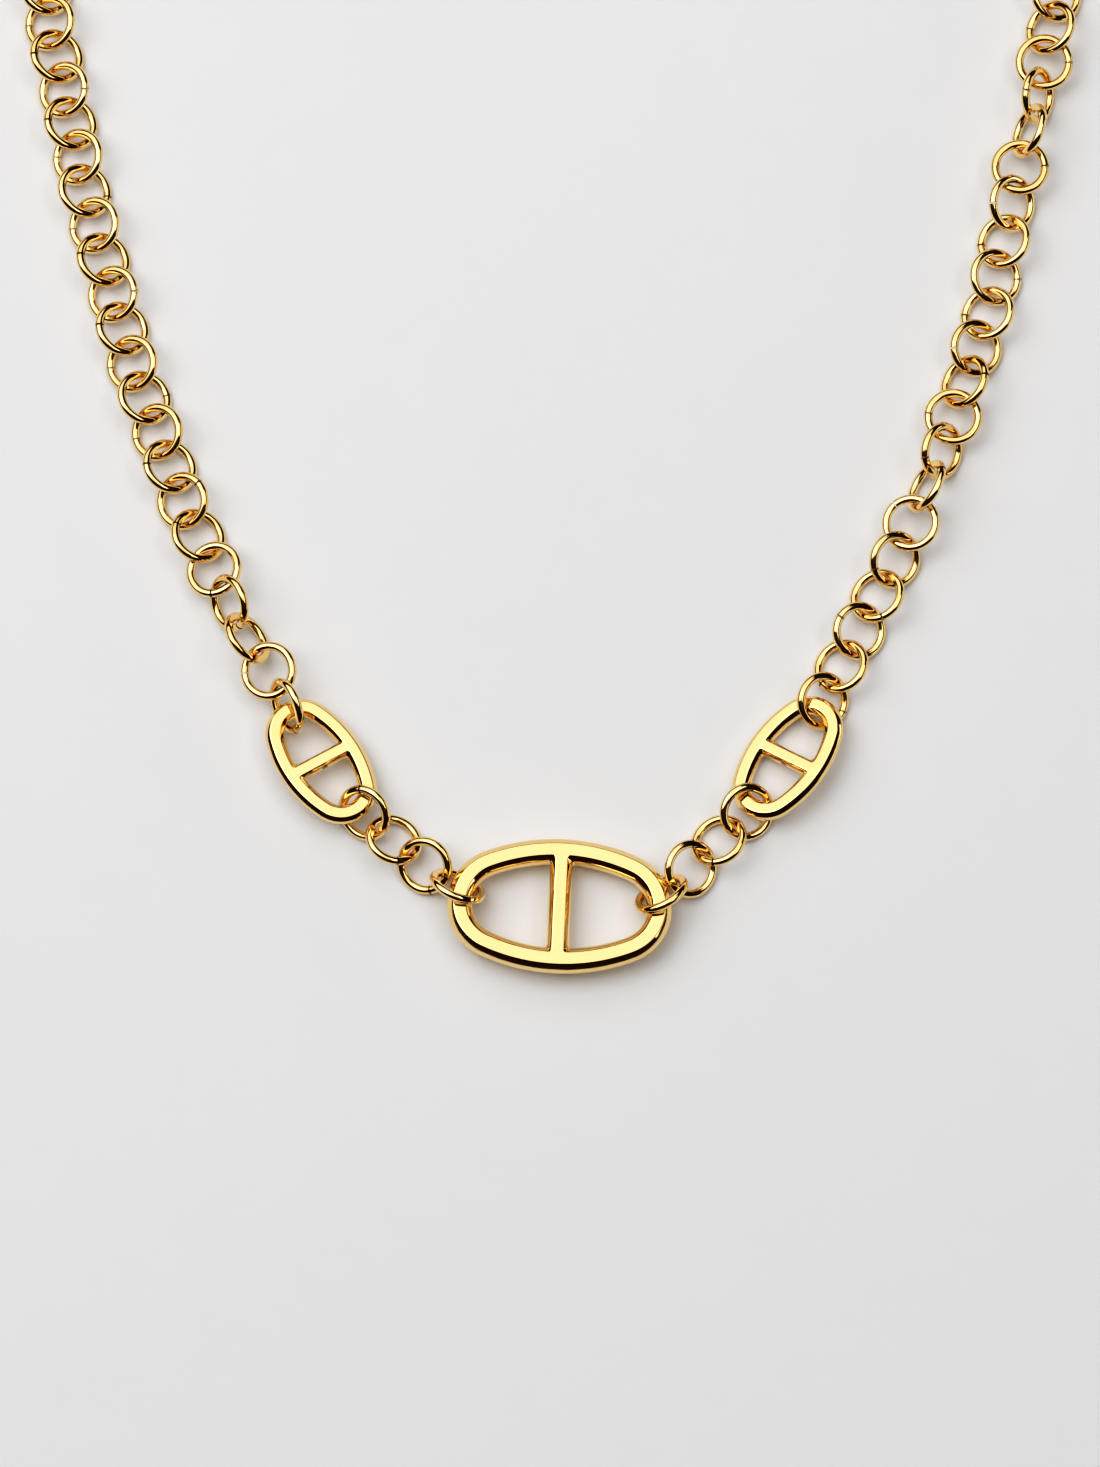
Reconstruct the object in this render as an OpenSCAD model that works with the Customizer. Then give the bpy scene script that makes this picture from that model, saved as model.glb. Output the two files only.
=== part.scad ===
// Necklace of round jump rings with one large and two small anchor links, laid flat.
// Millimetres. +X is to the right as it lies with the large link nearest, +Y runs from the
// large link to the clasp, and the surface that it lies on is Z = 0.
// The origin is the middle of its footprint.

/* [Jump rings] */
// Diameter of the round wire that every jump ring is bent from
wire_d = 1; // [0.9:0.02:1]
// Outside diameter of a jump ring
ring_od = 7.1; // [7.06:0.02:7.12]
// Angle taken out of a ring by the saw cut where it opens
saw_cut = 2; // [1:0.5:4]
// How far the rings of a plain stretch lean to one side, then to the other
lean = 28; // [26:1:32]

/* [Large anchor link] */
// Length of the large link over its ends
large_len = 27.2; // [27:0.1:27.3]
// Width of the large link across its middle
large_wid = 16.6; // [16.4:0.1:16.7]
// Width of its band, seen from above
large_band = 3.1; // [3:0.05:3.1]
// Thickness of the large link
large_thick = 2.6; // [2.5:0.05:2.6]
// Width of the polished flat along its band and bar
large_flat = 1.4; // [1.3:0.05:1.5]
// Depth below the flat at which its band and bar are widest
large_sink = 1.5; // [1.4:0.05:1.6]
// Width of its cross bar, seen from above
large_bar = 2.8; // [2.6:0.05:3]

/* [Small anchor links] */
// Length of a small link over its ends
small_len = 17.2; // [17.1:0.1:17.3]
// Width of a small link across its middle
small_wid = 10.4; // [10.3:0.1:10.5]
// Width of its band, seen from above
small_band = 2.3; // [2.25:0.05:2.35]
// Thickness of a small link
small_thick = 1.8; // [1.75:0.05:1.8]
// Width of the polished flat along its band and bar
small_flat = 1.15; // [1.1:0.05:1.2]
// Depth below the flat at which its band and bar are widest
small_sink = 0.95; // [0.9:0.05:1.05]
// Width of its cross bar, seen from above
small_bar = 2; // [1.9:0.05:2.2]
// Angle by which its cross bar is off square
small_slant = 5.5; // [4:0.5:7]

/* [Hidden] */
$fn = 64;
GOLD = [0.88, 0.7, 0.36];

wire_r = wire_d / 2;
ring_r = (ring_od - wire_d) / 2;

// How each anchor link lies, held up by the rings at its ends: x, y, height of its middle,
// turn, tilt about its length, near end lowered.
LARGE_LIES = [0.03, 0.15, 2.97, -2.5, -2.5, 0.52];
SMALL_LEFT_LIES = [-28.81, 18.15, 2.62, 125.1, 5, 1.23];
SMALL_RIGHT_LIES = [27.62, 18.46, 2.2, 54.4, -15, 0];

// Rings between the large link and a small one, counted from the large link:
// x, y, heading away from the large link, lean to the left, near end raised, raised.
JOIN_LEFT = [
    [-12.26, 2.58, 152.8, 56.4, 0.8, 0],
    [-16.27, 5.33, 139, -33, 0, 0],
    [-20.0, 8.54, 139, 30, 0, 0],
    [-23.54, 11.73, 130.1, -42.9, -5, 0]
];
JOIN_RIGHT = [
    [12.26, 1.56, 32.7, -54.7, 0.1, 0.07],
    [15.84, 4.81, 46.2, 32, 10.2, 0],
    [19.23, 8.32, 46, -30, 0, 0],
    [22.65, 11.83, 47, 32, 0, 0]
];

// Where rings of each strand lie, counted up from the small link: ring, x, y.
// The rings between two of these are spaced evenly.
LEFT_ROUTE = [
    [1, -32.98, 24.83],
    [2, -35.24, 29.24],
    [3, -37.88, 33.4],
    [4, -40.07, 37.76],
    [7, -46.0, 50.9],
    [11, -52.4, 68.3],
    [16, -58.5, 90.4],
    [21, -63.1, 112.1],
    [23, -64.3, 121.1]
];
RIGHT_ROUTE = [
    [1, 31.95, 25.5],
    [5, 40.85, 43.05],
    [8, 46.65, 56.55],
    [12, 52.5, 74.2],
    [16, 56.7, 92.6],
    [18, 59.0, 101.7],
    [20, 60.7, 110.6],
    [22, 62.28, 119.7]
];

// Rings that don't lean as their place in the row would have them:
// ring, lean to the left, near end raised, raised by its neighbours.
LEFT_ODD = [
    [1, -67.6, 4.1, 0.1],
    [2, -18.7, 0.9, 1.8],
    [3, 54.3, -1.5, 0.1],
    [4, -56.6, 3, 0.1],
    [5, -14, 12, 1.0]
];
RIGHT_ODD = [
    [1, 33, 0, 0],
    [5, 35.9, -6.6, 0],
    [6, -10.4, -4.5, 1.7],
    [7, -62, 0, 0],
    [8, 50, 0, 0],
    [9, -1, 1, 1.9],
    [10, -42, 0, 0],
    [15, 40.2, -3.7, 0.2],
    [16, -2.1, 2.6, 2.1],
    [17, -63, 0, 0],
    [18, 60, 0, 0],
    [19, -1.6, -2.9, 1.9],
    [20, -36.6, 1.7, 0.3]
];

// The curve round the back of the neck: its middle, its half sizes, its two ends.
BACK_MID = [-1, 121];
BACK_HALF = [63.3, 50];
BACK_RIGHT_END = -1.5;
BACK_LEFT_END = 180;
BACK_STEP = 2;
RINGS_BACK = 19;

// The clasp: a plain ring with an upright eye, and the steps along the curve from the
// last ring of the left strand to the eye, to the clasp's middle and on to the right strand.
CLASP_R = 3.4;
CLASP_WIRE_R = 0.8;
EYE_R = 1.4;
EYE_WIRE_R = 0.5;
EYE_OUT = 5.5;
CLASP_LEAN = 20;
TO_EYE = 3;
TO_NEXT = 4.6;

// How round a flank is: the part of an ellipse that it takes, and how far the foot below its
// widest place goes in, for its height.
FLANK_TURN = 60;
FOOT_IN = 0.6;

// Steps of an anchor link's flank and foot, and of each quarter of its oval.
FLANK_STEPS = 6;
FOOT_STEPS = 3;
OVAL_STEPS = 14;

function on_back(t) = BACK_MID + [BACK_HALF[0] * cos(t), BACK_HALF[1] * sin(t)];

// Length along the back curve against angle, from one end towards the other.
function back_lengths(t0, t1) =
    let (n = ceil(abs(t1 - t0) / BACK_STEP), d = (t1 - t0) / n)
    [for (k = 0, s = 0; k <= n; s = s + norm(on_back(t0 + d * (k + 1)) - on_back(t0 + d * k)),
          k = k + 1) [s, t0 + d * k]];

FROM_LEFT = back_lengths(BACK_LEFT_END, BACK_RIGHT_END);
FROM_RIGHT = back_lengths(BACK_RIGHT_END, BACK_LEFT_END);
back_len = FROM_LEFT[len(FROM_LEFT) - 1][0];
back_pitch = (back_len - TO_EYE - EYE_OUT - TO_NEXT) / (2 * RINGS_BACK);

function last_of(route) = route[len(route) - 1][0];

// Place of ring i of a strand: along its route, then along the back curve.
function ring_at(route, lengths, i) =
    i <= last_of(route)
        ? [lookup(i, [for (r = route) [r[0], r[1]]]), lookup(i, [for (r = route) [r[0], r[2]]])]
        : on_back(lookup((i - last_of(route)) * back_pitch, lengths));

function heading(a, b) = atan2(b[1] - a[1], b[0] - a[0]);

// Height at which a ring of this lean and pitch just touches the surface.
function rest_height(r, w, roll, pitch) = r * sqrt(1 - pow(cos(roll) * cos(pitch), 2)) + w;

footprint_mid = [
    BACK_MID[0],
    (BACK_MID[1] + BACK_HALF[1] + CLASP_R * cos(CLASP_LEAN) + CLASP_WIRE_R - large_wid / 2) / 2
];

// Everything is set out from the large link and then brought to the footprint's middle.
module laid_out() {
    translate([-footprint_mid[0], -footprint_mid[1], 0])
        children();
}

// One jump ring: a turn of round wire, open by the width of a saw cut.
module jump_ring(seam) {
    rotate([0, 0, seam + saw_cut / 2])
        rotate_extrude(angle = 360 - saw_cut)
            translate([ring_r, 0])
                circle(r = wire_r);
}

module set_ring(xy, turn, roll, pitch, raised, seam) {
    translate([xy[0], xy[1], rest_height(ring_r, wire_r, roll, pitch) + raised])
        rotate([roll, pitch, turn])
            jump_ring(seam);
}

// Where a ring's saw cut has ended up: anywhere along its sides, clear of its neighbours.
function seam_of(i) = (i % 3 == 0 ? 80 : i % 3 == 1 ? 262 : 105) + 7 * (i % 4);

module joining_ring(row, i) {
    set_ring(row, row[2], row[3], row[4], row[5], seam_of(i));
}

// Rings of one strand, each leaning against the next, the odd ones as their table says.
module strand(route, lengths, odd, first_side) {
    for (i = [1 : last_of(route) + RINGS_BACK]) {
        before = ring_at(route, lengths, max(i - 1, 1));
        after = ring_at(route, lengths, i + 1);
        found = search(i, odd);
        row = len(found) > 0 ? odd[found[0]] : [i, first_side * lean * (i % 2 == 1 ? 1 : -1), 0, 0];
        set_ring(ring_at(route, lengths, i), heading(before, after),
                 row[1], row[2], row[3], seam_of(i));
    }
}

// Section of an anchor link: a flat above, a rounded flank down to its widest place at each
// side, and a rounded foot below that down to a flat underside.
function section(w, thick, flat, sink) =
    let (top = thick / 2,
         widest = top - sink,
         a = (w - flat) / 2 / (1 - cos(FLANK_TURN)),
         b = sink / sin(FLANK_TURN),
         foot = widest + top,
         side = concat(
            [for (k = [0 : FOOT_STEPS - 1])
                let (u = -90 + 90 * k / FOOT_STEPS)
                [w / 2 - FOOT_IN * foot * (1 - cos(u)), widest + foot * sin(u)]],
            [for (k = [0 : FLANK_STEPS])
                let (u = FLANK_TURN * k / FLANK_STEPS)
                [w / 2 - a * (1 - cos(u)), widest + b * sin(u)]]))
    concat(side, [for (k = [len(side) - 1 : -1 : 0]) [-side[k][0], side[k][1]]]);

// Stations along an oval of four arcs: x, y and the direction square to the oval.
function oval(a, b) =
    let (end_r = 0.8 * b,
         side_r = (pow(a - end_r, 2) / (b - end_r) + end_r + b) / 2,
         half_side = atan((a - end_r) / (side_r - b)))
    [for (quarter = [0 : 3], k = [0 : OVAL_STEPS - 1])
        let (is_end = quarter % 2 == 0,
             turn = quarter < 2 ? 0 : 180,
             span = is_end ? 180 - 2 * half_side : 2 * half_side,
             from = is_end ? half_side - 90 : 90 - half_side,
             r = is_end ? end_r : side_r,
             cx = is_end ? a - end_r : 0,
             cy = is_end ? 0 : b - side_r,
             t = from + span * k / OVAL_STEPS,
             x = cx + r * cos(t),
             y = cy + r * sin(t))
        [x * cos(turn) - y * sin(turn), x * sin(turn) + y * cos(turn), t + turn]];

// A closed band: the section carried round the stations of an oval.
module band_of(stations, points) {
    n = len(stations);
    m = len(points);
    polyhedron(
        points = [for (s = stations, p = points)
            [s[0] + p[0] * cos(s[2]), s[1] + p[0] * sin(s[2]), p[1]]],
        faces = [for (i = [0 : n - 1], j = [0 : m - 1])
            let (i2 = (i + 1) % n, j2 = (j + 1) % m)
            [i * m + j, i * m + j2, i2 * m + j2, i2 * m + j]],
        convexity = 6
    );
}

// An oval band with a bar across its middle, cast in one piece.
module anchor_link(length, width, band, thick, flat, sink, bar, slant) {
    b = (width - band) / 2;
    band_of(oval((length - band) / 2, b), section(band, thick, flat, sink));
    rotate([90, 0, slant])
        linear_extrude(2 * b, center = true)
            polygon(section(bar, thick, flat, sink));
}

module large_link() {
    color(GOLD)
        laid_out()
            translate([LARGE_LIES[0], LARGE_LIES[1], LARGE_LIES[2]])
                rotate([LARGE_LIES[4], LARGE_LIES[5], LARGE_LIES[3]])
                    anchor_link(large_len, large_wid, large_band, large_thick, large_flat,
                                large_sink, large_bar, 0);
}

module small_link(lies, slant) {
    color(GOLD)
        laid_out()
            translate([lies[0], lies[1], lies[2]])
                rotate([lies[4], lies[5], lies[3]])
                    anchor_link(small_len, small_wid, small_band, small_thick, small_flat,
                                small_sink, small_bar, slant);
}

module small_link_left() {
    small_link(SMALL_LEFT_LIES, -small_slant);
}

module small_link_right() {
    small_link(SMALL_RIGHT_LIES, small_slant);
}

module joining_ring_left_1() {
    color(GOLD)
        laid_out()
            joining_ring(JOIN_LEFT[0], 1);
}

module joining_ring_left_2() {
    color(GOLD)
        laid_out()
            joining_ring(JOIN_LEFT[1], 2);
}

module joining_ring_left_3() {
    color(GOLD)
        laid_out()
            joining_ring(JOIN_LEFT[2], 3);
}

module joining_ring_left_4() {
    color(GOLD)
        laid_out()
            joining_ring(JOIN_LEFT[3], 4);
}

module joining_ring_right_1() {
    color(GOLD)
        laid_out()
            joining_ring(JOIN_RIGHT[0], 5);
}

module joining_ring_right_2() {
    color(GOLD)
        laid_out()
            joining_ring(JOIN_RIGHT[1], 3);
}

module joining_ring_right_3() {
    color(GOLD)
        laid_out()
            joining_ring(JOIN_RIGHT[2], 1);
}

module joining_ring_right_4() {
    color(GOLD)
        laid_out()
            joining_ring(JOIN_RIGHT[3], 2);
}

module chain_left() {
    color(GOLD)
        laid_out()
            strand(LEFT_ROUTE, FROM_LEFT, LEFT_ODD, -1);
}

module chain_right() {
    color(GOLD)
        laid_out()
            strand(RIGHT_ROUTE, FROM_RIGHT, RIGHT_ODD, 1);
}

// The clasp is hidden in the reference, so it is one plain closed ring with its eye.
module clasp() {
    along = RINGS_BACK * back_pitch + TO_EYE + EYE_OUT;
    t = lookup(along, FROM_LEFT);
    mid = on_back(t);
    next = on_back(lookup(along + 1, FROM_LEFT));
    color(GOLD)
        laid_out()
            translate([mid[0], mid[1], rest_height(CLASP_R, CLASP_WIRE_R, CLASP_LEAN, 0)])
                rotate([CLASP_LEAN, 0, heading(mid, next)]) {
                    rotate_extrude()
                        translate([CLASP_R, 0])
                            circle(r = CLASP_WIRE_R);
                    translate([-EYE_OUT, 0, 0])
                        rotate([90, 0, 0])
                            rotate_extrude()
                                translate([EYE_R, 0])
                                    circle(r = EYE_WIRE_R);
                }
}

large_link();
small_link_left();
small_link_right();
joining_ring_left_1();
joining_ring_left_2();
joining_ring_left_3();
joining_ring_left_4();
joining_ring_right_1();
joining_ring_right_2();
joining_ring_right_3();
joining_ring_right_4();
chain_left();
chain_right();
clasp();
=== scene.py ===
import math

import bmesh
import bpy
import numpy as np
from mathutils import Matrix, Vector


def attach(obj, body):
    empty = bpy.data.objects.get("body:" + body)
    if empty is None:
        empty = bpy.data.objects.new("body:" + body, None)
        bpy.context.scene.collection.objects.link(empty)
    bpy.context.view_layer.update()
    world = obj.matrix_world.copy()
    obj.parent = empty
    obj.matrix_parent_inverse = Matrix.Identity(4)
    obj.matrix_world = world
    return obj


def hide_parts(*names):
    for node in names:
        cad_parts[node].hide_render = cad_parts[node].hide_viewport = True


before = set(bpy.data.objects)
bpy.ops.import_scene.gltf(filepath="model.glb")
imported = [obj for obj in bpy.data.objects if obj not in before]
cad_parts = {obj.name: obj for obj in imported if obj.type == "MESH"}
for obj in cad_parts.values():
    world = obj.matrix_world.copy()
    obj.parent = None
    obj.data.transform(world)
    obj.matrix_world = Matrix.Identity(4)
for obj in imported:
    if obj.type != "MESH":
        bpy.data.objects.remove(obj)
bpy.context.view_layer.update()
MM = 0.001

# ---------------------------------------------------------------------------------------
# The large anchor link: brass cast in one piece, an oval band with a bar across its middle.
# Its upper face is ground flat, a polishing belt has left the flanks beside it nearly
# straight, lower down they are still round, and all of it is plated with gold.
# ---------------------------------------------------------------------------------------
LARGE = {
    "length": 27.2,
    "width": 16.6,
    "band": 3.1,
    "thick": 2.6,
    "flat": 1.4,
    "sink": 1.5,
    "bar": 2.8,
    "slant": 0.0,
    "fillet": 0.5,
    "at": (1.03, -83.197, 2.97),
    "turn": -2.5,
    "pitch": 0.52,
    "tilt": -2.5,
}
FLANK_POINTS = 18  # points down each flank of the casting's section
FOOT_POINTS = 8  # points round each side of its foot
FLANK_TURN = math.radians(60)  # the part of an ellipse that a flank takes
FOOT_IN = 0.6  # how far the foot goes in, for its height
KNEE = math.radians(25)  # where on that ellipse the polished upper flank starts
BOW = 0.027  # how far the upper flank bows out, for the sink of its casting
EDGE_SOFT = 0.05  # half the width that polishing rounds off each edge of a flat, mm
FLAT_HOLD = 0.12  # how far inside its edge a flat is truly flat, mm
BAR_SUNK = 0.008  # the bar's flat is this much lower than the band's, mm
BAR_STEPS = 12  # steps along half the bar, up to its flare
FLARE_STEPS = 30  # steps through a flare and on into the band
FLARE_IN = 0.03  # how far inside the band's flank a flare ends, mm


def half_width(width, thick, flat, sink, z):
    """How far a casting's side stands from its middle line at height z."""
    widest = thick / 2 - sink
    if z < widest:
        foot = widest + thick / 2
        fall = math.sqrt(max(1 - ((z - widest) / foot) ** 2, 0))
        return width / 2 - FOOT_IN * foot * (1 - fall)
    inward = (width - flat) / 2 / (1 - math.cos(FLANK_TURN))
    height = sink / math.sin(FLANK_TURN)
    knee = widest + height * math.sin(KNEE)
    if z > knee:
        # Above the knee the polishing belt has left the flank nearly straight.
        up = (z - knee) / (thick / 2 - knee)
        foot = width / 2 - inward * (1 - math.cos(KNEE))
        return foot + (flat / 2 - foot) * up + BOW * sink * 4 * up * (1 - up)
    return width / 2 - inward * (1 - math.sqrt(1 - ((z - widest) / height) ** 2))


def casting_section(width, thick, flat, sink):
    """Closed outline of a band or bar: a flat with softened edges, a round flank down to the
    widest place on each side, and a rounded foot."""
    top = thick / 2
    widest = top - sink
    height = sink / math.sin(FLANK_TURN)
    levels = [
        widest - (widest + top) * math.cos(math.pi / 2 * k / FOOT_POINTS)
        for k in range(FOOT_POINTS)
    ]
    reach = FLANK_TURN - EDGE_SOFT / height
    levels += [
        widest + height * math.sin(reach * k / FLANK_POINTS) for k in range(FLANK_POINTS + 1)
    ]
    side = [(half_width(width, thick, flat, sink, z), z) for z in levels]
    side += [(flat / 2 - EDGE_SOFT, top), (flat / 2 - FLAT_HOLD, top)]
    return side + [(-x, z) for x, z in reversed(side)]


def oval_stations(a, b, per_quarter):
    """Stations along an oval of four arcs: x, y and the direction square to it."""
    end_r = 0.8 * b
    side_r = ((a - end_r) ** 2 / (b - end_r) + end_r + b) / 2
    half_side = math.atan((a - end_r) / (side_r - b))
    stations = []
    for quarter in range(4):
        is_end = quarter % 2 == 0
        flip = -1 if quarter > 1 else 1
        span = math.pi - 2 * half_side if is_end else 2 * half_side
        start = half_side - math.pi / 2 if is_end else math.pi / 2 - half_side
        r = end_r if is_end else side_r
        cx, cy = (a - end_r, 0) if is_end else (0, b - side_r)
        for k in range(per_quarter):
            t = start + span * k / per_quarter
            x, y = cx + r * math.cos(t), cy + r * math.sin(t)
            stations.append((flip * x, flip * y, flip * math.cos(t), flip * math.sin(t)))
    return stations


def skin(rows, closed):
    """A solid of quads over rows of points, the rows joined in a ring or capped at both ends."""
    made = bmesh.new()
    grid = [[made.verts.new(Vector(p) * MM) for p in row] for row in rows]
    across = len(rows[0])
    for i in range(len(grid) if closed else len(grid) - 1):
        here, there = grid[i], grid[(i + 1) % len(grid)]
        for j in range(across):
            j2 = (j + 1) % across
            made.faces.new((here[j], there[j], there[j2], here[j2]))
    if not closed:
        made.faces.new(grid[0])
        made.faces.new(reversed(grid[-1]))
    bmesh.ops.recalc_face_normals(made, faces=made.faces)
    mesh = bpy.data.meshes.new("skin")
    made.to_mesh(mesh)
    made.free()
    return mesh


def casting_band(s, per_quarter):
    section = casting_section(s["band"], s["thick"], s["flat"], s["sink"])
    b = (s["width"] - s["band"]) / 2
    stations = oval_stations((s["length"] - s["band"]) / 2, b, per_quarter)
    rows = [[(x + p * nx, y + p * ny, z) for p, z in section] for x, y, nx, ny in stations]
    return skin(rows, True)


def casting_bar(s):
    """The bar, flared at each height into the band's inner side by a small fillet."""
    thick, f = s["thick"] - 2 * BAR_SUNK, s["fillet"]
    b = (s["width"] - s["band"]) / 2
    section = casting_section(s["bar"], thick, s["flat"], s["sink"])
    plain = b - s["band"] / 2 - f
    flare = s["band"] / 2 + f
    ends = (-1, 1)
    steps = sorted(
        {end * plain * k / BAR_STEPS for k in range(BAR_STEPS + 1) for end in ends}
        | {end * (plain + flare * k / FLARE_STEPS) for k in range(FLARE_STEPS + 1) for end in ends}
    )
    slant = math.radians(s["slant"])
    rows = []
    for at in steps:
        row = []
        for p, z in section:
            inner = b - half_width(s["band"], s["thick"], s["flat"], s["sink"], z) + FLARE_IN
            into = min(max(abs(at) - (inner - f), 0), f)
            p += math.copysign(f - math.sqrt(f**2 - into**2), p)
            row.append(
                (
                    p * math.cos(slant) - at * math.sin(slant),
                    p * math.sin(slant) + at * math.cos(slant),
                    z,
                )
            )
        rows.append(row)
    return skin(rows, False)


def shown(name, mesh):
    thing = bpy.data.objects.new(name, mesh)
    bpy.context.scene.collection.objects.link(thing)
    return thing


def fused(name, first, second):
    """One closed solid out of two that run into each other."""
    base, tool = shown(name, first), shown("tool", second)
    union = base.modifiers.new("union", "BOOLEAN")
    union.operation, union.solver, union.object = "UNION", "EXACT", tool
    plain = bpy.data.meshes.new_from_object(
        base.evaluated_get(bpy.context.evaluated_depsgraph_get())
    )
    base.modifiers.remove(union)
    base.data = plain
    bpy.data.objects.remove(tool)
    made = bmesh.new()
    made.from_mesh(plain)
    bmesh.ops.remove_doubles(made, verts=made.verts, dist=1e-6)
    bmesh.ops.recalc_face_normals(made, faces=made.faces)
    made.to_mesh(plain)
    made.free()
    plain.shade_smooth()
    return base


def anchor_link(name, s, per_quarter):
    """An anchor link laid where the necklace has it: x, y, height of its middle, in mm."""
    link = fused(name, casting_band(s, per_quarter), casting_bar(s))
    link.data.transform(
        Matrix.Translation(Vector(s["at"]) * MM)
        @ Matrix.Rotation(math.radians(s["turn"]), 4, "Z")
        @ Matrix.Rotation(math.radians(s["pitch"]), 4, "Y")
        @ Matrix.Rotation(math.radians(s["tilt"]), 4, "X")
    )
    return link


def node_maker(tree):
    """Adds a node to a tree and sets its properties and its plain inputs."""

    def add(kind, inputs=None, **properties):
        n = tree.nodes.new(kind)
        for key, value in properties.items():
            setattr(n, key, value)
        for key, value in (inputs or {}).items():
            if isinstance(value, bpy.types.NodeSocket):
                tree.links.new(value, n.inputs[key])
            else:
                n.inputs[key].default_value = value
        return n

    return add


def polish_group():
    """What a polishing wheel leaves: slow waves in the surface, fine lines, faint smears."""
    tree = bpy.data.node_groups.new("Wheel polish", "ShaderNodeTree")
    for name, kind, value in (
        ("Where", "NodeSocketVector", None),
        ("Wave size", "NodeSocketFloat", 0.003),
        ("Line size", "NodeSocketFloat", 0.00006),
        ("Smear size", "NodeSocketFloat", 0.004),
    ):
        socket = tree.interface.new_socket(name, in_out="INPUT", socket_type=kind)
        if value is not None:
            socket.default_value = value
    for name in ("Waves", "Lines", "Smears"):
        tree.interface.new_socket(name, in_out="OUTPUT", socket_type="NodeSocketFloat")
    add = node_maker(tree)
    given = add("NodeGroupInput").outputs
    out = add("NodeGroupOutput")

    def fine(size):
        return add(
            "ShaderNodeMath", {0: 1.0, 1: given[size]}, operation="DIVIDE"
        ).outputs["Value"]

    waves = add(
        "ShaderNodeTexNoise",
        {"Vector": given["Where"], "Scale": fine("Wave size"), "Detail": 1.5, "Roughness": 0.4},
    )
    stretched = add(
        "ShaderNodeMapping",
        {"Vector": given["Where"], "Rotation": (0.3, 0.2, 0.6), "Scale": (0.06, 1.0, 1.0)},
        vector_type="POINT",
    )
    lines = add(
        "ShaderNodeTexNoise",
        {
            "Vector": stretched.outputs["Vector"],
            "Scale": fine("Line size"),
            "Detail": 2.0,
            "Roughness": 0.7,
        },
    )
    smears = add(
        "ShaderNodeTexNoise",
        {
            "Vector": given["Where"],
            "Scale": fine("Smear size"),
            "Detail": 4.0,
            "Roughness": 0.6,
            "Distortion": 0.6,
        },
    )
    for name, made in (("Waves", waves), ("Lines", lines), ("Smears", smears)):
        tree.links.new(made.outputs[0], out.inputs[name])
    return tree


def gold_group():
    """Colour of the plating: a full yellow gold, a little redder or paler from place to place."""
    tree = bpy.data.node_groups.new("Gold plating", "ShaderNodeTree")
    tree.interface.new_socket("Tone", in_out="INPUT", socket_type="NodeSocketFloat")
    tree.interface.new_socket("Wear", in_out="INPUT", socket_type="NodeSocketFloat")
    tree.interface.new_socket("Color", in_out="OUTPUT", socket_type="NodeSocketColor")
    add = node_maker(tree)
    given = add("NodeGroupInput").outputs
    out = add("NodeGroupOutput")
    plate = add("ShaderNodeValToRGB", {"Fac": given["Tone"]})
    stops = plate.color_ramp.elements
    stops[0].position, stops[0].color = 0.25, (0.90, 0.595, 0.225, 1)
    stops[1].position, stops[1].color = 0.75, (0.94, 0.665, 0.30, 1)
    worn = add(
        "ShaderNodeMix",
        {"Factor": given["Wear"], 6: plate.outputs["Color"], 7: (0.97, 0.72, 0.33, 1)},
        data_type="RGBA",
    )
    tree.links.new(worn.outputs[2], out.inputs["Color"])
    return tree


def pit_group():
    """A small ragged pit left in a casting: where its middle is, and how wide it is."""
    tree = bpy.data.node_groups.new("Casting pit", "ShaderNodeTree")
    for name, kind, value in (
        ("Where", "NodeSocketVector", None),
        ("Middle", "NodeSocketVector", None),
        ("Width", "NodeSocketFloat", 0.001),
    ):
        socket = tree.interface.new_socket(name, in_out="INPUT", socket_type=kind)
        if value is not None:
            socket.default_value = value
    tree.interface.new_socket("Pit", in_out="OUTPUT", socket_type="NodeSocketFloat")
    add = node_maker(tree)
    given = add("NodeGroupInput").outputs
    out = add("NodeGroupOutput")
    away = add(
        "ShaderNodeVectorMath", {0: given["Where"], 1: given["Middle"]}, operation="DISTANCE"
    )
    across = add(
        "ShaderNodeMath", {0: away.outputs["Value"], 1: given["Width"]}, operation="DIVIDE"
    )
    ragged = add(
        "ShaderNodeTexNoise",
        {"Vector": given["Where"], "Scale": 3200.0, "Detail": 2.0, "Roughness": 0.6},
    )
    edge = add("ShaderNodeMath", {0: across.outputs[0], 1: ragged.outputs[0]}, operation="ADD")
    deep = add(
        "ShaderNodeMapRange",
        {
            "Value": edge.outputs[0],
            "From Min": 0.72,
            "From Max": 0.9,
            "To Min": 1.0,
            "To Max": 0.0,
        },
        interpolation_type="SMOOTHSTEP",
    )
    tree.links.new(deep.outputs["Result"], out.inputs["Pit"])
    return tree


POLISH = polish_group()
GOLD = gold_group()
PIT = pit_group()
# Middle and width of the pits in the three castings, mm.
PITS = (
    ((-27.40, -65.93, 2.87), 1.3),
    ((28.18, -65.66, 2.45), 1.1),
    ((1.15, -90.55, 4.1), 0.6),
)


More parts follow.
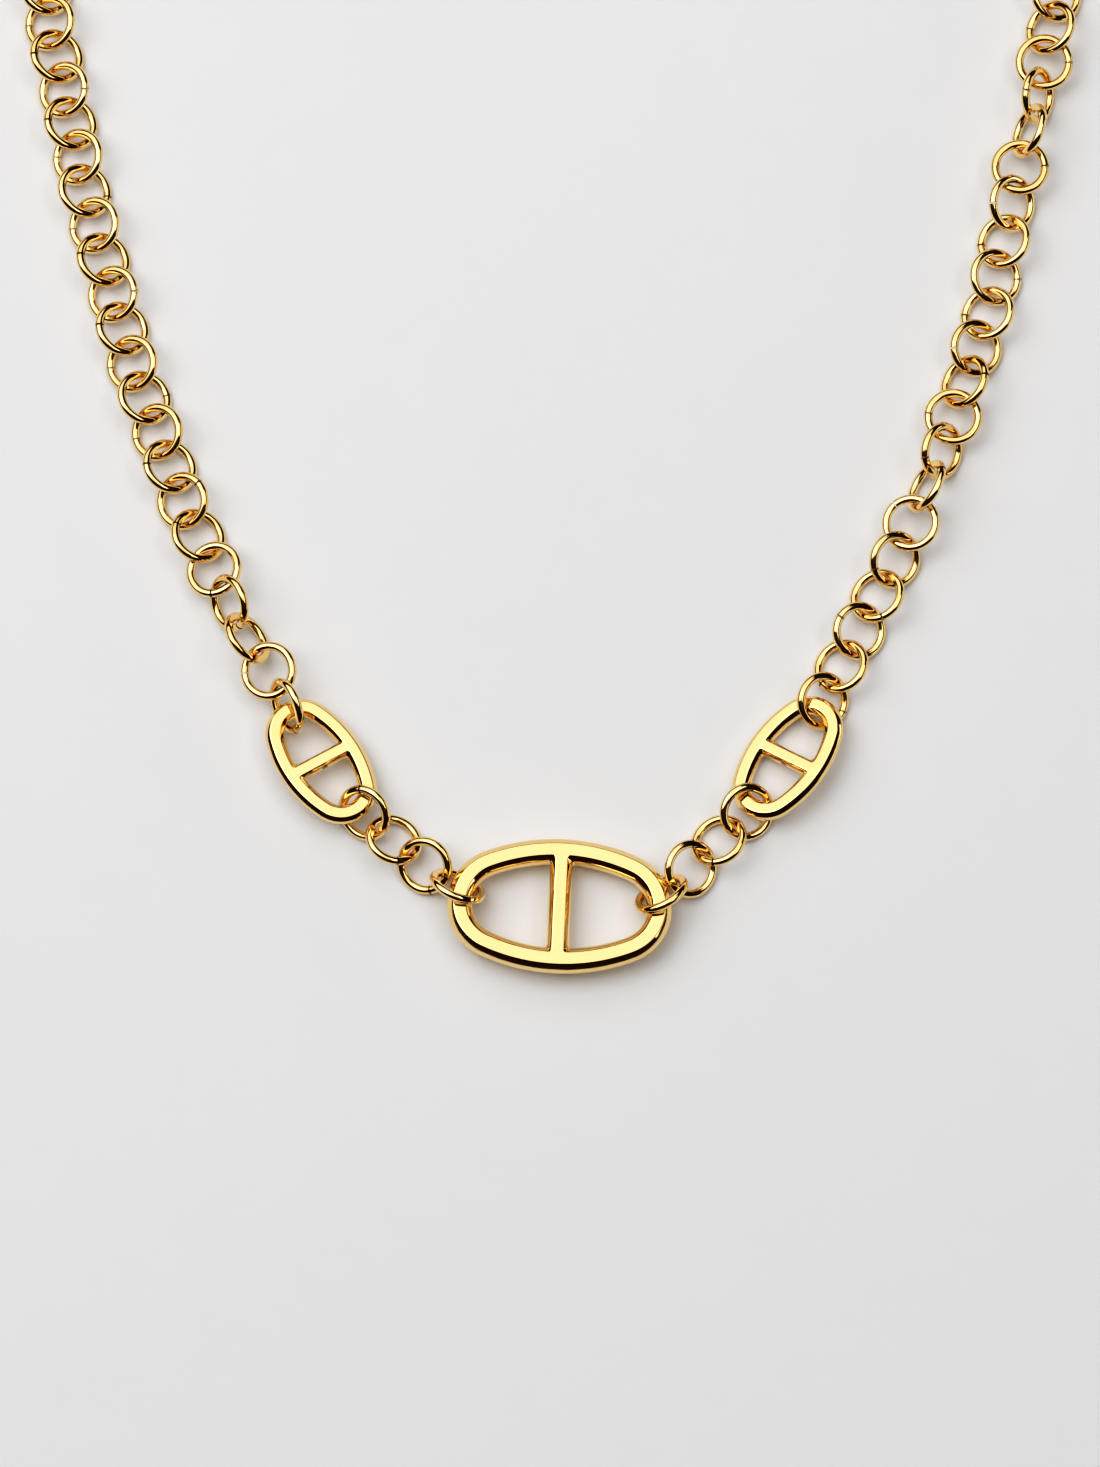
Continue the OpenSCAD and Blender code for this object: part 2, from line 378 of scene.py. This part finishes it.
def cast_gold():
    """Gold plate over a polished casting."""
    material = bpy.data.materials.new("Gold plate, cast links")
    material.use_nodes = True
    tree = material.node_tree
    tree.nodes.clear()
    add = node_maker(tree)
    where = add("ShaderNodeTexCoord").outputs["Object"]
    polish = add(
        "ShaderNodeGroup",
        {"Where": where, "Wave size": 0.0035, "Line size": 0.00007, "Smear size": 0.005},
        node_tree=POLISH,
    ).outputs
    tone = add(
        "ShaderNodeTexNoise", {"Vector": where, "Scale": 120.0, "Detail": 3.0, "Roughness": 0.6}
    )
    gold = add(
        "ShaderNodeGroup", {"Tone": tone.outputs[0], "Wear": polish["Lines"]}, node_tree=GOLD
    )
    rough = add(
        "ShaderNodeMapRange",
        {
            "Value": polish["Smears"],
            "From Min": 0.3,
            "From Max": 0.75,
            "To Min": 0.05,
            "To Max": 0.12,
        },
    )
    height = add(
        "ShaderNodeMath",
        {0: polish["Lines"], 1: 0.01, 2: polish["Waves"]},
        operation="MULTIPLY_ADD",
    )
    pitted = None
    for middle, width in PITS:
        pit = add(
            "ShaderNodeGroup",
            {"Where": where, "Middle": [c * MM for c in middle], "Width": width * MM},
            node_tree=PIT,
        ).outputs["Pit"]
        pitted = pit if pitted is None else add(
            "ShaderNodeMath", {0: pitted, 1: pit}, operation="MAXIMUM"
        ).outputs[0]
    sunk = add(
        "ShaderNodeMath", {0: pitted, 1: -0.6, 2: height.outputs[0]}, operation="MULTIPLY_ADD"
    )
    bump = add(
        "ShaderNodeBump", {"Height": sunk.outputs[0], "Strength": 0.5, "Distance": 0.0001}
    )
    dulled = add(
        "ShaderNodeMix",
        {"Factor": pitted, 6: gold.outputs["Color"], 7: (0.30, 0.15, 0.05, 1)},
        data_type="RGBA",
    )
    shader = add(
        "ShaderNodeBsdfPrincipled",
        {
            "Base Color": dulled.outputs[2],
            "Metallic": 1.0,
            "Roughness": rough.outputs["Result"],
            "Normal": bump.outputs["Normal"],
        },
    )
    add("ShaderNodeOutputMaterial", {"Surface": shader.outputs["BSDF"]})
    return material


CAST_GOLD = cast_gold()


def finished(piece, material, node):
    """Gives a finished piece its material and stands it in for its CAD node."""
    piece.data.materials.clear()
    piece.data.materials.append(material)
    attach(piece, "root")
    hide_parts(node)


finished(anchor_link("Large_anchor_link", LARGE, 72), CAST_GOLD, "large_link")

# ---------------------------------------------------------------------------------------
# The two small anchor links: the same casting at two thirds of the size. Their bars stand
# a little off square, mirrored left and right, and each link leans on its rings.
# ---------------------------------------------------------------------------------------
SMALL = {
    "length": 17.2,
    "width": 10.4,
    "band": 2.3,
    "thick": 1.8,
    "flat": 1.15,
    "sink": 0.95,
    "bar": 2.0,
    "fillet": 0.35,
}
SMALL_LIES = {
    "left": {
        "slant": -5.5,
        "at": (-27.81, -65.197, 2.62),
        "turn": 125.1,
        "pitch": 1.23,
        "tilt": 5.0,
    },
    "right": {
        "slant": 5.5,
        "at": (28.62, -64.887, 2.2),
        "turn": 54.4,
        "pitch": 0.0,
        "tilt": -15.0,
    },
}
for side, lies in SMALL_LIES.items():
    link = anchor_link("Small_anchor_link_" + side, {**SMALL, **lies}, 52)
    finished(link, CAST_GOLD, "small_link_" + side)

# ---------------------------------------------------------------------------------------
# The jump rings: round brass wire a little over 1 mm thick, wound on a 5 mm mandrel, sawn
# through once, closed round their neighbours with pliers and plated. Four join the large
# link to each small one, and two strands of them go round the neck.
# ---------------------------------------------------------------------------------------
WIRE_R = 0.54 * MM
RING_R = 3.05 * MM  # to the middle of the wire
SAW_CUT = math.radians(3.0)
SAWN_END_SHADE = 0.09 * MM  # how far from a sawn end the painted shade of the saw cut reaches
RIM_ROUNDS = 4  # rounds of fitting a circle to a ring's outermost points


def rings_of(node):
    """Where each ring of a CAD node lies: its middle, and the turn that brings a ring lying
    flat with its saw cut along +X to it."""
    made = bmesh.new()
    made.from_mesh(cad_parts[node].data)
    bmesh.ops.remove_doubles(made, verts=made.verts, dist=1e-6)
    made.verts.index_update()
    seen, places = set(), []
    for first in made.verts:
        if first.index in seen:
            continue
        seen.add(first.index)
        stack, part = [first], []
        while stack:
            v = stack.pop()
            part.append(v.co[:])
            for e in v.link_edges:
                w = e.other_vert(v)
                if w.index not in seen:
                    seen.add(w.index)
                    stack.append(w)
        places.append(ring_place(np.array(part)))
    made.free()
    return places


def circle_middle(flat):
    """Middle of the circle that fits points in a plane best."""
    system = np.column_stack([2 * flat, np.ones(len(flat))])
    return np.linalg.lstsq(system, (flat**2).sum(axis=1), rcond=None)[0][:2]


def ring_place(points):
    """Middle and turn of one ring, from its points."""
    spread = points - points.mean(axis=0)
    axes = np.linalg.svd(spread, full_matrices=False)[2]
    if axes[2][2] < 0:
        axes[2] = -axes[2]
    flat = spread @ axes[:2].T
    middle = circle_middle(flat)
    for _ in range(RIM_ROUNDS):
        away = np.linalg.norm(flat - middle, axis=1)
        middle = circle_middle(flat[away > RING_R + 0.8 * WIRE_R])
    centre = points.mean(axis=0) + middle[0] * axes[0] + middle[1] * axes[1]
    around = np.sort(np.arctan2(flat[:, 1] - middle[1], flat[:, 0] - middle[0]))
    gaps = np.append(around[1:], around[0] + 2 * math.pi) - around
    cut = around[gaps.argmax()] + gaps.max() / 2
    x = math.cos(cut) * axes[0] + math.sin(cut) * axes[1]
    y = np.cross(axes[2], x)
    turn = Matrix(np.column_stack([x, y, axes[2]]).tolist())
    return Vector(centre), turn.to_euler()


def ring_tree():
    """Jump rings set on points: sawn wire rings, each turned as its point says."""
    tree = bpy.data.node_groups.new("Jump rings", "GeometryNodeTree")
    for name, kind, value in (
        ("Points", "NodeSocketGeometry", None),
        ("Ring radius", "NodeSocketFloat", RING_R),
        ("Wire radius", "NodeSocketFloat", WIRE_R),
        ("Saw cut", "NodeSocketFloat", SAW_CUT),
        ("Steps round", "NodeSocketInt", 96),
        ("Wire sides", "NodeSocketInt", 20),
        ("Seed", "NodeSocketInt", 4),
        ("Material", "NodeSocketMaterial", None),
    ):
        socket = tree.interface.new_socket(name, in_out="INPUT", socket_type=kind)
        if value is not None:
            socket.default_value = value
    tree.interface.new_socket("Rings", in_out="OUTPUT", socket_type="NodeSocketGeometry")
    add = node_maker(tree)
    given = add("NodeGroupInput").outputs
    out = add("NodeGroupOutput")
    half_cut = add("ShaderNodeMath", {0: given["Saw cut"], 1: 0.5}, operation="MULTIPLY")
    sweep = add("ShaderNodeMath", {0: math.tau, 1: given["Saw cut"]}, operation="SUBTRACT")
    bent = add(
        "GeometryNodeCurveArc",
        {
            "Resolution": given["Steps round"],
            "Radius": given["Ring radius"],
            "Start Angle": half_cut.outputs[0],
            "Sweep Angle": sweep.outputs[0],
        },
    )
    along = add(
        "GeometryNodeStoreNamedAttribute",
        {
            "Geometry": bent.outputs["Curve"],
            "Name": "along",
            "Value": add("GeometryNodeSplineParameter").outputs["Length"],
        },
        data_type="FLOAT",
        domain="POINT",
    )
    wire = add(
        "GeometryNodeCurvePrimitiveCircle",
        {"Resolution": given["Wire sides"], "Radius": given["Wire radius"]},
    )
    round_wire = add(
        "GeometryNodeStoreNamedAttribute",
        {
            "Geometry": wire.outputs["Curve"],
            "Name": "round",
            "Value": add("GeometryNodeInputPosition").outputs["Position"],
        },
        data_type="FLOAT_VECTOR",
        domain="POINT",
    )
    ring = add(
        "GeometryNodeCurveToMesh",
        {
            "Curve": along.outputs["Geometry"],
            "Profile Curve": round_wire.outputs["Geometry"],
            "Fill Caps": True,
        },
    )
    turn = add("GeometryNodeInputNamedAttribute", {"Name": "turn"}, data_type="FLOAT_VECTOR")
    rotation = add("FunctionNodeEulerToRotation", {"Euler": turn.outputs["Attribute"]})
    set_out = add(
        "GeometryNodeInstanceOnPoints",
        {
            "Points": given["Points"],
            "Instance": ring.outputs["Mesh"],
            "Rotation": rotation.outputs["Rotation"],
        },
    )
    pick = add("FunctionNodeRandomValue", {"Seed": given["Seed"]}, data_type="FLOAT")
    toned = add(
        "GeometryNodeStoreNamedAttribute",
        {"Geometry": set_out.outputs["Instances"], "Name": "tone", "Value": pick.outputs[1]},
        data_type="FLOAT",
        domain="INSTANCE",
    )
    real = add("GeometryNodeRealizeInstances", {"Geometry": toned.outputs["Geometry"]})
    plated = add(
        "GeometryNodeSetMaterial",
        {"Geometry": real.outputs["Geometry"], "Material": given["Material"]},
    )
    tree.links.new(plated.outputs["Geometry"], out.inputs["Rings"])
    return tree


def wire_gold():
    """Gold plate over drawn wire: fine lines run along it, and rings differ a little."""
    material = bpy.data.materials.new("Gold plate, ring wire")
    material.use_nodes = True
    tree = material.node_tree
    tree.nodes.clear()
    add = node_maker(tree)
    where = add("ShaderNodeTexCoord").outputs["Object"]
    along = add("ShaderNodeAttribute", attribute_name="along").outputs["Fac"]
    round_wire = add("ShaderNodeAttribute", attribute_name="round").outputs["Vector"]
    tone = add("ShaderNodeAttribute", attribute_name="tone").outputs["Fac"]
    slow = add("ShaderNodeMath", {0: along, 1: 0.05}, operation="MULTIPLY")
    drawn = add("ShaderNodeCombineXYZ", {"Z": slow.outputs[0]})
    lay = add(
        "ShaderNodeVectorMath",
        {0: round_wire, 1: drawn.outputs["Vector"]},
        operation="ADD",
    )
    drawing = add(
        "ShaderNodeTexNoise",
        {"Vector": lay.outputs["Vector"], "Scale": 9000.0, "Detail": 2.0, "Roughness": 0.6},
    ).outputs[0]
    polish = add(
        "ShaderNodeGroup",
        {"Where": where, "Wave size": 0.0016, "Line size": 0.00008, "Smear size": 0.003},
        node_tree=POLISH,
    ).outputs
    gold = add("ShaderNodeGroup", {"Tone": tone, "Wear": 0.15}, node_tree=GOLD)
    # Painted shade: the wire darkens towards its two sawn ends, standing in for the shade in the
    # narrow saw cut.
    wire_length = RING_R * (math.tau - SAW_CUT)
    to_far_end = add("ShaderNodeMath", {0: wire_length, 1: along}, operation="SUBTRACT")
    to_end = add("ShaderNodeMath", {0: along, 1: to_far_end.outputs[0]}, operation="MINIMUM")
    cut_shade = add(
        "ShaderNodeMapRange",
        {
            "Value": to_end.outputs[0],
            "From Min": 0.0,
            "From Max": SAWN_END_SHADE,
            "To Min": 0.85,
            "To Max": 0.0,
        },
    )
    # Near the sawn ends the gold is mixed towards dark brown: painted shade of the saw cut.
    gold_and_cut_shade = add(
        "ShaderNodeMix",
        {
            "Factor": cut_shade.outputs["Result"],
            6: gold.outputs["Color"],
            7: (0.16, 0.07, 0.02, 1),
        },
        data_type="RGBA",
    )
    rough = add(
        "ShaderNodeMapRange",
        {
            "Value": polish["Smears"],
            "From Min": 0.3,
            "From Max": 0.75,
            "To Min": 0.05,
            "To Max": 0.13,
        },
    )
    height = add(
        "ShaderNodeMath", {0: drawing, 1: 0.04, 2: polish["Waves"]}, operation="MULTIPLY_ADD"
    )
    bump = add(
        "ShaderNodeBump", {"Height": height.outputs[0], "Strength": 0.3, "Distance": 0.00004}
    )
    shader = add(
        "ShaderNodeBsdfPrincipled",
        {
            "Base Color": gold_and_cut_shade.outputs[2],
            "Metallic": 1.0,
            "Roughness": rough.outputs["Result"],
            "Normal": bump.outputs["Normal"],
        },
    )
    add("ShaderNodeOutputMaterial", {"Surface": shader.outputs["BSDF"]})
    return material


RINGS = ring_tree()
WIRE_GOLD = wire_gold()


def socket_of(tree, name):
    """Identifier of a tree's named input."""
    return next(i.identifier for i in tree.interface.items_tree if i.name == name)


def set_rings(name, node, seed, steps=96, sides=20):
    """All the rings of one CAD node as one mesh."""
    places = rings_of(node)
    points = bpy.data.meshes.new(name)
    points.from_pydata([p for p, _ in places], [], [])
    turns = points.attributes.new("turn", "FLOAT_VECTOR", "POINT")
    turns.data.foreach_set("vector", [c for _, turn in places for c in turn])
    row = shown(name, points)
    grow = row.modifiers.new("rings", "NODES")
    grow.node_group = RINGS
    grow[socket_of(RINGS, "Seed")] = seed
    grow[socket_of(RINGS, "Steps round")] = steps
    grow[socket_of(RINGS, "Wire sides")] = sides
    grow[socket_of(RINGS, "Material")] = WIRE_GOLD
    plain = bpy.data.meshes.new_from_object(
        row.evaluated_get(bpy.context.evaluated_depsgraph_get())
    )
    row.modifiers.remove(grow)
    row.data = plain
    plain.shade_smooth()
    finished(row, WIRE_GOLD, node)


for side in ("left", "right"):
    for i in (1, 2, 3, 4):
        node = f"joining_ring_{side}_{i}"
        set_rings(node.replace("joining", "Joining"), node, 10 * i + len(side))
for side in ("left", "right"):
    set_rings("Strand_" + side, "chain_" + side, 3 + len(side), steps=72, sides=16)

# ---------------------------------------------------------------------------------------
# The clasp at the back of the neck: a plain closed ring of thicker wire with a small
# upright eye brazed to it, which the last ring of the left strand holds.
# ---------------------------------------------------------------------------------------
CLASP_R, CLASP_WIRE = 3.4, 0.8
EYE_R, EYE_WIRE, EYE_OUT = 1.4, 0.5, 5.5
CLASP_AT = Vector((2.604, 87.611, 1.963)) * MM
CLASP_HEADING = -2.22
CLASP_LEAN = 20.0


def wire_hoop(radius, wire, steps, sides):
    """A closed ring of round wire, flat on its middle."""
    rows = []
    for k in range(steps):
        t = math.tau * k / steps
        rows.append(
            [
                (
                    (radius + wire * math.cos(u)) * math.cos(t),
                    (radius + wire * math.cos(u)) * math.sin(t),
                    wire * math.sin(u),
                )
                for u in (math.tau * j / sides for j in range(sides))
            ]
        )
    return skin(rows, True)


eye = wire_hoop(EYE_R, EYE_WIRE, steps=64, sides=20)
eye.transform(
    Matrix.Translation((-EYE_OUT * MM, 0, 0)) @ Matrix.Rotation(math.radians(90), 4, "X")
)
clasp = fused("Clasp", wire_hoop(CLASP_R, CLASP_WIRE, steps=128, sides=28), eye)
clasp.data.transform(
    Matrix.Translation(CLASP_AT)
    @ Matrix.Rotation(math.radians(CLASP_HEADING), 4, "Z")
    @ Matrix.Rotation(math.radians(CLASP_LEAN), 4, "X")
)
finished(clasp, CAST_GOLD, "clasp")

# ---------------------------------------------------------------------------------------
# The table: a wide sheet of pale paper, matt and very slightly mottled.
# ---------------------------------------------------------------------------------------
TABLE_HALF = 3.0
paper = bpy.data.meshes.new("Paper")
paper.from_pydata(
    [(x * TABLE_HALF, y * TABLE_HALF, 0) for x, y in ((-1, -1), (1, -1), (1, 1), (-1, 1))],
    [],
    [(0, 1, 2, 3)],
)
table = shown("Paper", paper)
pale = bpy.data.materials.new("Pale paper")
pale.use_nodes = True
pale.node_tree.nodes.clear()
add = node_maker(pale.node_tree)
where = add("ShaderNodeTexCoord").outputs["Object"]
mottle = add(
    "ShaderNodeTexNoise", {"Vector": where, "Scale": 160.0, "Detail": 5.0, "Roughness": 0.6}
)
tint = add("ShaderNodeValToRGB", {"Fac": mottle.outputs[0]})
tint.color_ramp.elements[0].color = (0.885, 0.887, 0.897, 1)
tint.color_ramp.elements[1].color = (0.903, 0.905, 0.915, 1)
matt = add(
    "ShaderNodeBsdfPrincipled", {"Base Color": tint.outputs["Color"], "Roughness": 0.85}
)
add("ShaderNodeOutputMaterial", {"Surface": matt.outputs["BSDF"]})
paper.materials.append(pale)

# ---------------------------------------------------------------------------------------
# The light: a wide soft panel overhead, a smaller one high on the left, one high on the right,
# a narrow strip low on the right, and a dark room behind them, which round flanks and wires
# mirror as dark lines.
# ---------------------------------------------------------------------------------------
LOOK_AT = Vector((-0.13, -61.75, 2.2)) * MM


def soft_panel(name, glow, low_corner, high_corner, aim):
    """A panel that spans two corners and shines towards aim, glow being how bright it looks."""
    low_corner, high_corner = Vector(low_corner), Vector(high_corner)
    place = (low_corner + high_corner) / 2
    back = (place - Vector(aim)).normalized()
    across = Vector((0, 1, 0)).cross(back).normalized()
    span = high_corner - low_corner
    lamp = bpy.data.lights.new(name, "AREA")
    lamp.shape = "RECTANGLE"
    lamp.size = abs(span.dot(across))
    lamp.size_y = abs(span.dot(back.cross(across)))
    lamp.energy = math.pi * glow * lamp.size * lamp.size_y
    stand = bpy.data.objects.new(name, lamp)
    stand.location = place
    facing = Matrix((across, back.cross(across), back)).transposed()
    stand.rotation_mode = "QUATERNION"
    stand.rotation_quaternion = facing.to_quaternion()
    bpy.context.scene.collection.objects.link(stand)


x, y = LOOK_AT.xy
soft_panel(
    "Overhead_panel",
    1.35,
    (x - 2.3, y - 0.30, 1.1),
    (x + 0.4, y + 2.1, 1.1),
    (x - 0.95, y + 0.90, 0),
)
soft_panel(
    "Key_panel",
    2.1,
    (x - 1.00, y - 0.15, 1.0),
    (x - 0.14, y + 0.52, 1.0),
    (x - 0.57, y + 0.18, 0),
)
soft_panel(
    "Fill_panel",
    2.1,
    (x + 0.42, y - 0.35, 1.0),
    (x + 0.80, y + 0.50, 1.0),
    (x + 0.61, y + 0.08, 0),
)
soft_panel("Side_strip", 1.8, (x + 1.4, y - 0.7, 0.22), (x + 1.4, y + 0.7, 0.46), (x, y, 0.34))

room = bpy.data.worlds.new("Studio room")
bpy.context.scene.world = room
room.use_nodes = True
room.node_tree.nodes.clear()
add = node_maker(room.node_tree)
height = add("ShaderNodeSeparateXYZ", {0: add("ShaderNodeTexCoord").outputs["Generated"]})
walls = add("ShaderNodeValToRGB", {"Fac": height.outputs["Z"]})
stops = walls.color_ramp.elements
stops[0].position, stops[0].color = 0.0, (0.02, 0.009, 0.003, 1)
stops[1].position, stops[1].color = 1.0, (0.05, 0.04, 0.03, 1)
stop = stops.new(0.6)
stop.color = (0.01, 0.005, 0.002, 1)
mirrored = add("ShaderNodeBackground", {"Color": walls.outputs["Color"], "Strength": 1.0})
seen = add("ShaderNodeBackground", {"Color": (0.78, 0.78, 0.78, 1), "Strength": 1.0})
which = add(
    "ShaderNodeMixShader",
    {
        "Fac": add("ShaderNodeLightPath").outputs["Is Camera Ray"],
        1: mirrored.outputs["Background"],
        2: seen.outputs["Background"],
    },
)
add("ShaderNodeOutputWorld", {"Surface": which.outputs["Shader"]})

# The photograph's own contrast: its darks are printed deeper.
developed = bpy.context.scene.view_settings
developed.view_transform = "Standard"
developed.use_curve_mapping = True
response = developed.curve_mapping.curves[3]
for dim, printed in ((0.05, 0.028), (0.2, 0.165), (0.5, 0.5)):
    response.points.new(dim, printed)
developed.curve_mapping.update()

# ---------------------------------------------------------------------------------------
# The camera: a long lens nearly overhead, tipped towards the large link.
# ---------------------------------------------------------------------------------------
TO_CAMERA = Vector((0.016, -0.224, 1.0)).normalized()
AWAY = 0.9
lens = bpy.data.cameras.new("Camera")
lens.lens, lens.sensor_width, lens.sensor_fit = 182.4, 36.0, "AUTO"
lens.clip_start, lens.clip_end = 0.01, 20.0
camera = bpy.data.objects.new("Camera", lens)
up = (Vector((0, 1, 0)) - TO_CAMERA.y * TO_CAMERA).normalized()
right = up.cross(TO_CAMERA)
facing = Matrix((right, up, TO_CAMERA)).transposed()
camera.matrix_world = Matrix.Translation(LOOK_AT + TO_CAMERA * AWAY) @ facing.to_4x4()
bpy.context.scene.collection.objects.link(camera)
bpy.context.scene.camera = camera
